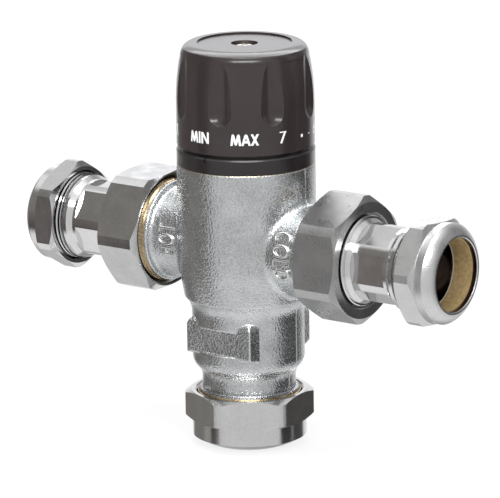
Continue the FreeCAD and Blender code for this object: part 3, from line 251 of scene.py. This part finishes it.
def screw_head(material):
    """The head's upper part, which stands on the screw in the knob's hole."""
    low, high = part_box("knob_screw")
    radius = (high[0] - low[0]) / 2
    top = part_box("knob_disc")[1][2] - SCREW_SUNK
    rim = top - SCREW_CROWN
    profile = [(1.0, high[2]), (1.0, rim), (0.9, rim + 0.45 * SCREW_CROWN), (0.7, rim + 0.75 * SCREW_CROWN),
               (0.4, rim + 0.94 * SCREW_CROWN)]
    steps = 48
    points = []
    for share, z in profile:
        points += [on_cylinder(share * radius, 360 * i / steps, z) for i in range(steps)]
    points.append((0, 0, top))
    faces = []
    for first in range(0, steps * (len(profile) - 1), steps):
        for i in range(steps):
            j = (i + 1) % steps
            faces.append((first + i, first + j, first + steps + j, first + steps + i))
    first = steps * (len(profile) - 1)
    faces += [(first + i, first + (i + 1) % steps, len(points) - 1) for i in range(steps)]
    mesh = bpy.data.meshes.new("screw_head")
    mesh.from_pydata(points, [], faces)
    return add_object("screw_head", mesh, material, "knob")


def cast_word(name, words, base_x, side, centre_deg, width, material):
    """Raised rounded letters on a boss, read down the boss, with their tops away from the valve's axis."""
    curve = bpy.data.curves.new(name, "CURVE")
    curve.dimensions = "3D"
    curve.bevel_depth = CAST_WIRE_R
    curve.bevel_resolution = 2
    curve.use_fill_caps = True
    stretch = width / width_of(words)
    for line in strokes_of(words):
        line = finer(line, LONGEST_STEP)
        spline = curve.splines.new("POLY")
        spline.points.add(len(line) - 1)
        for point, (x, y) in zip(spline.points, line):
            turn = math.radians(centre_deg) - side * x * stretch / BOSS_R
            reach = BOSS_R + CAST_PROUD
            along = base_x + side * y * CAST_HEIGHT
            point.co = (along, -reach * math.cos(turn), PORT_Z + reach * math.sin(turn), 1)
    return add_object(name, curve, material, "valve")


class Shading:
    """A material or world whose nodes are added one at a time."""

    def __init__(self, owner, kind, output):
        owner.use_nodes = True
        self.tree = owner.node_tree
        self.tree.nodes.clear()
        self.shader = self.tree.nodes.new(kind)
        self.output = self.tree.nodes.new(output)
        self.tree.links.new(self.shader.outputs[0], self.output.inputs[0])

    def node(self, kind, inputs=(), **settings):
        node = self.tree.nodes.new(kind)
        for key, value in settings.items():
            setattr(node, key, value)
        for key, value in dict(inputs).items():
            self.put(node.inputs[key], value)
        return node

    def put(self, socket, value):
        if isinstance(value, bpy.types.NodeSocket):
            self.tree.links.new(value, socket)
        else:
            socket.default_value = value

    def math(self, operation, *values):
        return self.node("ShaderNodeMath", dict(enumerate(values)), operation=operation).outputs[0]

    def ramp(self, factor, *stops):
        """Colour by factor; a stop is (position, grey or colour)."""
        ramp = self.node("ShaderNodeValToRGB", {0: factor})
        elements = ramp.color_ramp.elements
        while len(elements) < len(stops):
            elements.new(0.5)
        for element, (position, colour) in zip(elements, stops):
            element.position = position
            element.color = (*colour, 1) if isinstance(colour, tuple) else (colour, colour, colour, 1)
        return ramp.outputs[0]

    def mix(self, factor, first, second):
        node = self.node("ShaderNodeMix", data_type="RGBA")
        self.put(node.inputs[0], factor)
        for socket, value in ((node.inputs[6], first), (node.inputs[7], second)):
            self.put(socket, (*value, 1) if isinstance(value, tuple) else value)
        return node.outputs[2]

    def place(self):
        """The point's place in the object's own frame, and its three coordinates."""
        point = self.node("ShaderNodeTexCoord").outputs["Object"]
        parts = self.node("ShaderNodeSeparateXYZ", {0: point})
        return point, parts.outputs[0], parts.outputs[1], parts.outputs[2]

    def noise(self, point, size, detail=3.0):
        """Noise whose features are about this size."""
        settings = {"Vector": point, "Scale": 1 / size, "Detail": detail}
        return self.node("ShaderNodeTexNoise", settings).outputs[0]

    def bump(self, height, distance, strength=1.0, base=None):
        node = self.node("ShaderNodeBump", {"Height": height, "Distance": distance, "Strength": strength})
        if base:
            self.put(node.inputs["Normal"], base)
        return node.outputs[0]


def material(name, colour=(0.8, 0.8, 0.8), metallic=0.0, roughness=0.5):
    made = bpy.data.materials.new(name)
    shading = Shading(made, "ShaderNodeBsdfPrincipled", "ShaderNodeOutputMaterial")
    shading.shader.inputs["Base Color"].default_value = (*colour, 1)
    shading.shader.inputs["Metallic"].default_value = metallic
    shading.shader.inputs["Roughness"].default_value = roughness
    return made, shading


def saw(shading, along, pitch):
    """Height of a thread's flanks along an axis, from 0 to half its pitch."""
    return shading.math("PINGPONG", along, pitch / 2)


def from_inlet_axis(s, y, z):
    """Distance from the inlets' axis."""
    rise = s.math("SUBTRACT", z, PORT_Z)
    return s.math("SQRT", s.math("ADD", s.math("POWER", y, 2.0), s.math("POWER", rise, 2.0)))


def casting():
    """Shot-blasted plated casting, with bare brass on its threads and in its ways."""
    made, s = material("casting", metallic=1.0)
    point, x, y, z = s.place()
    grain = s.noise(point, CAST_GRAIN, 1.0)
    pits = s.node("ShaderNodeTexVoronoi", {"Vector": point, "Scale": 1 / CAST_PIT},
                  feature="SMOOTH_F1").outputs[0]
    patches = s.noise(point, CAST_PATCH, 2.0)
    out_x = s.math("ABSOLUTE", x)
    face = s.math("MULTIPLY", s.math("GREATER_THAN", out_x, FLANGE_X - EDGE_MARGIN),
                  s.math("GREATER_THAN", from_inlet_axis(s, y, z), FLANGE_BARE_R))
    inlet_end = s.math("MAXIMUM", face, s.math("GREATER_THAN", out_x, FLANGE_X + FLANGE_STEP))
    bare = s.math("MAXIMUM", inlet_end, s.math("LESS_THAN", z, NECK_END_Z))
    ragged = s.math("ADD", z, s.math("MULTIPLY", grain, BARE_EDGE))
    top_edge = s.math("GREATER_THAN", ragged, BARREL_TOP_Z - EDGE_MARGIN)
    plate = s.ramp(s.math("ADD", s.math("MULTIPLY", grain, 0.5), s.math("MULTIPLY", patches, 0.5)),
                   (0.30, (0.46, 0.47, 0.475)), (0.50, (0.64, 0.655, 0.665)), (0.68, (0.78, 0.80, 0.815)))
    # Painted shade: the plate darkens towards the outlet thread, in a band just above the nut.
    neck_shade = s.ramp(s.math("DIVIDE", s.math("SUBTRACT", z, NECK_END_Z), NECK_SHADE_HEIGHT), (0.0, 0.30), (1.0, 1.0))
    plate = s.mix(s.math("SUBTRACT", 1.0, neck_shade), plate, (0.10, 0.10, 0.10))
    # Painted highlight: a lighter band along the crease between the cone and the neck.
    crease = s.math("DIVIDE", s.math("ABSOLUTE", s.math("SUBTRACT", z, CONE_FOOT_Z)), CREASE_HIGHLIGHT_REACH)
    plate = s.mix(s.ramp(crease, (0.2, 0.8), (1.0, 0.0)), plate, (0.92, 0.93, 0.95))
    soft = s.node("ShaderNodeBevel", {"Radius": CAST_ROUNDING}, samples=12).outputs[0]
    hard = s.node("ShaderNodeNewGeometry").outputs["Normal"]
    # Painted highlight: where the rounded normal turns away from the true one, the casting's edges are made
    # lighter.
    turn = s.node("ShaderNodeVectorMath", {0: soft, 1: hard}, operation="DOT_PRODUCT").outputs["Value"]
    plate = s.mix(s.ramp(turn, (0.86, 0.75), (0.985, 0.0)), plate, (0.93, 0.94, 0.96))
    plate = s.mix(top_edge, plate, (0.88, 0.80, 0.64))
    brass = s.ramp(grain, (0.3, DARK_BRASS), (0.7, BRASS))
    s.put(s.shader.inputs["Base Color"], s.mix(bare, plate, brass))
    s.put(s.shader.inputs["Roughness"], s.ramp(grain, (0.3, 0.20), (0.7, 0.30)))
    off_seam = s.math("DIVIDE", s.math("ABSOLUTE", s.math("SUBTRACT", y, SEAM_Y)), SEAM_HALF)
    seam = s.math("SUBTRACT", 1.0, s.math("MINIMUM", 1.0, off_seam))
    blasted = s.math("ADD", grain, s.math("MULTIPLY", pits, 0.5))
    skin = s.bump(s.math("MULTIPLY", blasted, s.math("SUBTRACT", 1.0, bare)), CAST_DEPTH, 0.6, soft)
    skin = s.bump(seam, SEAM_HEIGHT, 0.9, skin)
    inlet = s.math("MULTIPLY", saw(s, x, BODY_PITCH), s.math("GREATER_THAN", out_x, FLANGE_X + THREAD_RUN_IN))
    outlet = s.math("MULTIPLY", saw(s, z, BODY_PITCH), s.math("LESS_THAN", z, NECK_END_Z - THREAD_RUN_IN))
    s.put(s.shader.inputs["Normal"], s.bump(s.math("ADD", inlet, outlet), 1.0, 1.0, skin))
    return made


def chrome(name, grain_size, grain_depth, low, high, dress_bore=None, thread_x=None, tone=(0.70, 0.83)):
    """Bright plate; the grain is what is left of the forging or the turning under it."""
    made, s = material(name, metallic=1.0)
    point, x, y, z = s.place()
    grain = s.noise(point, grain_size, 3.0)
    smears = s.noise(point, SMEAR, 2.0)
    colour = s.ramp(s.math("ADD", s.math("MULTIPLY", grain, 0.5), s.math("MULTIPLY", smears, 0.5)),
                    (0.3, tone[0]), (0.7, tone[1]))
    if dress_bore:
        colour = dress_bore(s, colour, x, y, z)
    s.put(s.shader.inputs["Base Color"], colour)
    s.put(s.shader.inputs["Roughness"], s.ramp(smears, (0.3, low), (0.7, high)))
    skin = s.bump(grain, grain_depth, 0.5)
    if thread_x:
        threaded = s.math("GREATER_THAN", s.math("ABSOLUTE", x), thread_x)
        outside = s.math("GREATER_THAN", from_inlet_axis(s, y, z), SOCKET_R + WALL_REACH)
        threaded = s.math("MULTIPLY", threaded, outside)
        flank = saw(s, x, TAIL_PITCH)
        # Painted shade in the threads' grooves.
        groove_shade = s.math("MULTIPLY", threaded, s.math("LESS_THAN", flank, GROOVE_SHARE * TAIL_PITCH / 2))
        s.put(s.shader.inputs["Base Color"], s.mix(groove_shade, colour, (0.35, 0.35, 0.36)))
        skin = s.bump(s.math("MULTIPLY", flank, threaded), 1.0, 1.0, skin)
    s.put(s.shader.inputs["Normal"], skin)
    return made


def socket_shade_and_highlight(s, colour, x, y, z):
    """The pipe socket is painted dark inside as painted shade, with a painted highlight where the olive ends.
    """
    out_x = s.math("ABSOLUTE", x)
    bore = s.math("LESS_THAN", from_inlet_axis(s, y, z), SOCKET_R + WALL_REACH)
    edge = s.math("MULTIPLY", s.math("GREATER_THAN", out_x, OLIVE_INNER_X - SOCKET_EDGE),
                  s.math("LESS_THAN", out_x, OLIVE_INNER_X))
    return s.mix(bore, colour, s.mix(edge, (0.10, 0.075, 0.065), EDGE_HIGHLIGHT))


def shaded_mouth(s, colour, x, y, z):
    """The land inside a nut's mouth is painted dark, as painted shade."""
    land = s.math("LESS_THAN", from_inlet_axis(s, y, z), MOUTH_R + LAND_MARGIN)
    return s.mix(land, colour, (0.09, 0.06, 0.05))


def cross_head(name):
    """Bright screw with a dark cross painted in its head as the slot's painted shade."""
    made, s = material(name, metallic=0.6, roughness=0.35)
    point, x, y = s.place()[:3]
    arm = s.math("LESS_THAN", s.math("MINIMUM", s.math("ABSOLUTE", x), s.math("ABSOLUTE", y)), CROSS_HALF)
    reach = s.math("SQRT", s.math("ADD", s.math("POWER", x, 2.0), s.math("POWER", y, 2.0)))
    cross = s.math("MULTIPLY", arm, s.math("LESS_THAN", reach, CROSS_REACH))
    wear = s.ramp(s.noise(point, HEAD_GRAIN), (0.3, (0.74, 0.68, 0.58)), (0.7, (0.90, 0.86, 0.78)))
    # Painted shade: the slot's cross is only dark colour on the domed head.
    s.put(s.shader.inputs["Base Color"], s.mix(cross, wear, (0.05, 0.045, 0.04)))
    return made


def machined(name, dark, light, roughness):
    """Turned metal with faint tool marks."""
    made, s = material(name, metallic=1.0, roughness=roughness)
    grain = s.noise(s.place()[0], TOOL_GRAIN)
    s.put(s.shader.inputs["Base Color"], s.ramp(grain, (0.3, dark), (0.7, light)))
    s.put(s.shader.inputs["Normal"], s.bump(grain, TOOL_DEPTH, 0.5))
    return made


def matt_brass(name, dark, light):
    """Drawn brass, partly tarnished, so that it shows its own colour in a bore; its inner edge has a painted
    highlight.
    """
    made, s = material(name, metallic=0.45, roughness=0.38)
    point, x = s.place()[:2]
    colour = s.ramp(s.noise(point, TARNISH), (0.3, dark), (0.7, light))
    off_edge = s.math("ABSOLUTE", s.math("SUBTRACT", s.math("ABSOLUTE", x), OLIVE_INNER_X))
    edge = s.math("LESS_THAN", off_edge, OLIVE_EDGE)
    s.put(s.shader.inputs["Base Color"], s.mix(edge, colour, EDGE_HIGHLIGHT))
    return made


def moulding(name, dark, light, roughness, gloss=0.0, crisp_rim=False):
    """Moulded plastic or rubber with a fine skin; gloss adds a clear outer layer.

    A crisp rim is lit as a flat top that ends in a sharp edge.
    """
    made, s = material(name, roughness=roughness)
    point = s.place()[0]
    grain = s.noise(point, MOULD_GRAIN, 2.0)
    cloud = s.noise(point, MOULD_CLOUD, 2.0)
    s.put(s.shader.inputs["Base Color"], s.ramp(cloud, (0.3, dark), (0.7, light)))
    skin = s.bump(grain, MOULD_DEPTH, 0.6)
    s.put(s.shader.inputs["Normal"], skin)
    if gloss:
        s.shader.inputs["IOR"].default_value = MOULD_IOR
        s.shader.inputs["Coat Weight"].default_value = gloss
        s.shader.inputs["Coat IOR"].default_value = MOULD_IOR
        s.shader.inputs["Coat Roughness"].default_value = roughness
        s.shader.inputs["Sheen Weight"].default_value = 0.12
        s.shader.inputs["Sheen Roughness"].default_value = 0.25
    if crisp_rim:
        normal = s.node("ShaderNodeNewGeometry").outputs["Normal"]
        rise = s.node("ShaderNodeSeparateXYZ", {0: normal}).outputs[2]
        flat = s.ramp(rise, (RIM_UPRIGHT, 0.0), (RIM_UPRIGHT + RIM_BLEND, 1.0))
        upright = s.node("ShaderNodeCombineXYZ", {2: 1.0}).outputs[0]
        skin = s.node("ShaderNodeMix", {0: flat, 4: skin, 5: upright}, data_type="VECTOR").outputs[1]
        s.put(s.shader.inputs["Normal"], skin)
        s.put(s.shader.inputs["Coat Normal"], skin)
    return made


def studio():
    """White surroundings; metal sees a soft box in front and above, with dark sides between them."""
    world = bpy.context.scene.world or bpy.data.worlds.new("studio")
    bpy.context.scene.world = world
    s = Shading(world, "ShaderNodeBackground", "ShaderNodeOutputWorld")
    way = s.node("ShaderNodeSeparateXYZ", {0: s.node("ShaderNodeTexCoord").outputs["Generated"]})
    azimuth = s.math("ARCTAN2", way.outputs[0], s.math("MULTIPLY", way.outputs[1], -1.0))
    turn = s.math("ADD", s.math("DIVIDE", azimuth, 2 * math.pi), 0.5)

    def around(*stops):
        """Colour by azimuth in degrees."""
        return s.ramp(turn, *((degrees / 360 + 0.5, colour) for degrees, colour in stops))

    white = (0.93, 0.935, 0.96)
    dusk = (0.205, 0.195, 0.185)
    slate = (0.31, 0.30, 0.285)
    warm = (0.175, 0.155, 0.148)
    coal = (0.085, 0.078, 0.075)
    low = around((-180, 0.75), (-162, white), (-130, white), (-114, dusk), (-72, dusk), (-68, slate),
                 (-52, slate), (-49, coal), (-39, coal), (-37, warm), (-31, warm), (-29, 0.60), (5, 0.66),
                 (98, 0.62), (102.5, 0.04), (127, 0.045), (130, 0.22), (133, 0.22), (136, 0.05), (168, coal),
                 (176, 0.75))
    high = around((-180, 0.4), (-172, 0.4), (-162, white), (-130, white), (-116, dusk), (-31, dusk),
                  (-28, 0.60), (5, 0.68), (98, 0.66), (104, 0.10), (118, 0.12), (122, 0.50), (139, 0.50),
                  (145, 0.17), (168, 0.20), (176, 0.4))
    ground = around((-180, 0.30), (-84, 0.60), (-72, 0.86), (180, 0.86))
    upper = around((-180, 0.70), (-110, 0.70), (-103, 0.92), (90, 0.95), (130, 0.70))
    height = s.math("ADD", s.math("MULTIPLY", way.outputs[2], 0.5), 0.5)
    ring = s.mix(s.ramp(height, (0.50, 0.0), (0.56, 1.0)), low, high)
    sky = s.mix(s.ramp(height, (0.92, 0.0), (0.955, 1.0)), upper, (1.22, 1.24, 1.27))
    above = s.ramp(height, (0.825, 0.0), (0.87, 1.0))
    below = s.ramp(height, (0.19, 1.0), (0.275, 0.0))
    seen = s.mix(above, s.mix(below, ring, ground), sky)
    rays = s.node("ShaderNodeLightPath")
    glossy = s.math("MAXIMUM", rays.outputs["Is Glossy Ray"], rays.outputs["Is Transmission Ray"])
    colour = s.mix(glossy, (0.80, 0.80, 0.80), seen)
    colour = s.mix(rays.outputs["Is Camera Ray"], colour, (1.0, 1.0, 1.0))
    s.put(s.shader.inputs["Color"], colour)


def add_floor():
    mesh = bpy.data.meshes.new("floor")
    half = FLOOR_SIZE / 2
    corners = [(-half, -half, 0), (half, -half, 0), (half, half, 0), (-half, half, 0)]
    mesh.from_pydata(corners, [], [(0, 1, 2, 3)])
    floor = bpy.data.objects.new("floor", mesh)
    bpy.context.collection.objects.link(floor)
    made, s = material("floor", (0.90, 0.90, 0.90), roughness=0.9)
    glow = s.node("ShaderNodeEmission", {"Color": (1, 1, 1, 1), "Strength": 1.0})
    seen = s.math("MULTIPLY", s.node("ShaderNodeLightPath").outputs["Is Camera Ray"], FLOOR_GLOW)
    blend = s.node("ShaderNodeMixShader", {0: seen, 1: s.shader.outputs[0], 2: glow.outputs[0]})
    s.tree.links.new(blend.outputs[0], s.output.inputs[0])
    mesh.materials.append(made)
    floor.visible_glossy = False


def towards(azimuth, elevation):
    """Unit vector from the valve's middle out to this side."""
    a = math.radians(azimuth)
    e = math.radians(elevation)
    return Vector((math.sin(a) * math.cos(e), -math.cos(a) * math.cos(e), math.sin(e)))


def add_lamp(name, azimuth, elevation, width, height, watts):
    data = bpy.data.lights.new(name, "AREA")
    data.shape = "RECTANGLE"
    data.size = width
    data.size_y = height
    data.energy = watts
    lamp = bpy.data.objects.new(name, data)
    bpy.context.collection.objects.link(lamp)
    back = towards(azimuth, elevation)
    lamp.location = Vector((0, 0, PORT_Z)) + back * LAMP_DISTANCE
    lamp.rotation_mode = "QUATERNION"
    lamp.rotation_quaternion = (-back).to_track_quat("-Z", "Y")


def add_camera():
    a = math.radians(CAMERA_AZIMUTH)
    roll = math.radians(CAMERA_ROLL)
    back = towards(CAMERA_AZIMUTH, CAMERA_ELEVATION)
    level = Vector((math.cos(a), math.sin(a), 0))
    up = back.cross(level)
    right = level * math.cos(roll) + up * math.sin(roll)
    up = up * math.cos(roll) - level * math.sin(roll)
    data = bpy.data.cameras.new("camera")
    data.lens = CAMERA_LENS_MM
    data.sensor_width = CAMERA_SENSOR_MM
    data.clip_start = 0.05
    data.clip_end = 50
    camera = bpy.data.objects.new("camera", data)
    bpy.context.collection.objects.link(camera)
    turn = Matrix((right, up, back)).transposed().to_4x4()
    place = level * AIM_RIGHT + Vector((0, 0, AIM_Z)) + back * CAMERA_DISTANCE
    camera.matrix_world = Matrix.Translation(place) @ turn
    bpy.context.scene.camera = camera


def dress(frame):
    """Give each solid its material, and make the pieces for the words, the scale and the screw's head."""
    cast = casting()
    thread_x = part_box("cold_compression_nut")[0][0] - THREAD_SHOWN
    forging = (0.28 * MM, 0.12 * MM, 0.26, 0.30, shaded_mouth)
    forged = chrome("forged_chrome", *forging, tone=(0.64, 0.80))
    # Painted shade: the union nut gets a darker copy of the forged chrome.
    shaded_nut = chrome("shaded_forged_chrome", *forging, tone=(0.42, 0.56))
    satin = chrome("satin_chrome", 0.7 * MM, 0.012 * MM, 0.10, 0.18, shaded_mouth)
    turned = chrome("turned_chrome", 0.5 * MM, 0.01 * MM, 0.08, 0.14, socket_shade_and_highlight, thread_x)
    brass = machined("brass", (0.30, 0.22, 0.12), (0.56, 0.44, 0.26), 0.32)
    olive = matt_brass("olive_brass", (0.50, 0.36, 0.17), (0.72, 0.54, 0.28))
    worn = chrome("worn_letters", 0.4 * MM, 0.04 * MM, 0.16, 0.26)
    copper = machined("copper", (0.55, 0.28, 0.14), (0.72, 0.42, 0.24), 0.25)
    steel = machined("steel", (0.45, 0.45, 0.46), (0.70, 0.70, 0.71), 0.22)
    umber = ((0.025, 0.018, 0.018), (0.030, 0.022, 0.022), 0.21)
    dark = moulding("dark_moulding", *umber, gloss=1.0)
    cap = moulding("knob_moulding", *umber, gloss=1.0, crisp_rim=True)
    # Painted shade: the collar under the knob's overhang gets a darker copy of the knob's plastic.
    shaded = moulding("collar_shaded_moulding", (0.012, 0.009, 0.010), (0.016, 0.012, 0.013), 0.24, gloss=1.0)
    pale = moulding("pale_moulding", (0.72, 0.71, 0.66), (0.80, 0.79, 0.75), 0.45)
    rubber = moulding("rubber", (0.012, 0.012, 0.012), (0.022, 0.022, 0.022), 0.6)
    ink = moulding("white_ink", (0.80, 0.80, 0.80), (0.86, 0.86, 0.86), 0.5)

    by_slot = {"plated_casting": cast, "bright_chrome": satin, "dark_plastic": dark, "brass": brass,
               "copper_brass": copper, "steel": steel, "white_plastic": pale, "rubber": rubber}
    by_node = {"cold_union_nut": shaded_nut, "cold_compression_nut": forged, "hot_tailpiece": turned,
               "cold_tailpiece": turned, "cold_olive": olive, "hot_olive": olive, "outlet_olive": olive,
               "temperature_knob": cap, "collar_ring": shaded}
    for part in frame["record"]["subparts"]:
        solid = frame["nodes"][part["node"]]
        chosen = by_node.get(part["node"], by_slot[part["material_slot"]])
        solid.data.materials.clear()
        solid.data.materials.append(chosen)

    screw_head(cross_head("screw_bright"))
    cast_word("cold_word", "COLD", COLD_BASE_X, 1, COLD_CENTRE_DEG, CAST_WIDTH, worn)
    cast_word("hot_word", "HOT", HOT_BASE_X, -1, HOT_CENTRE_DEG, HOT_WIDTH, worn)
    printed("scale_min", "MIN", MIN_AZIMUTH, ink)
    printed("scale_max", "MAX", MAX_AZIMUTH, ink)
    for i, digit in enumerate(DIGITS):
        azimuth = NEXT_AZIMUTH + DIGIT_STEP * (i - 1) if i else DIGIT_AZIMUTH
        printed(f"scale_{digit}", digit, azimuth, ink)
        if i < len(DIGITS) - 1:
            printed_dot(f"scale_dot_{i}", azimuth + DOT_STEP, DOT_R, ink)
            printed_dot(f"scale_small_dot_{i}", azimuth + SMALL_DOT_STEP, SMALL_DOT_R, ink)


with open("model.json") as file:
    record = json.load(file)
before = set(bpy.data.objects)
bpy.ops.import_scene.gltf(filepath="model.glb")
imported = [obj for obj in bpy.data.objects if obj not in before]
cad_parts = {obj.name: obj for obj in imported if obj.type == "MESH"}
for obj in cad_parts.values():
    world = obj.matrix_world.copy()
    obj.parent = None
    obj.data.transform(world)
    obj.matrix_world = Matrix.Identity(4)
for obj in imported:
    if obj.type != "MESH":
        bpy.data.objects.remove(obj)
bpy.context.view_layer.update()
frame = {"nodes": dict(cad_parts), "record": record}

bpy.context.scene.view_settings.view_transform = "Standard"
add_camera()
studio()
add_floor()
add_lamp("key", 36, 36, 1.1, 0.22, 9)
add_lamp("fill", 36, 80, 0.7, 0.7, 9)
add_lamp("rim", -150, 40, 0.7, 0.7, 5)
dress(frame)
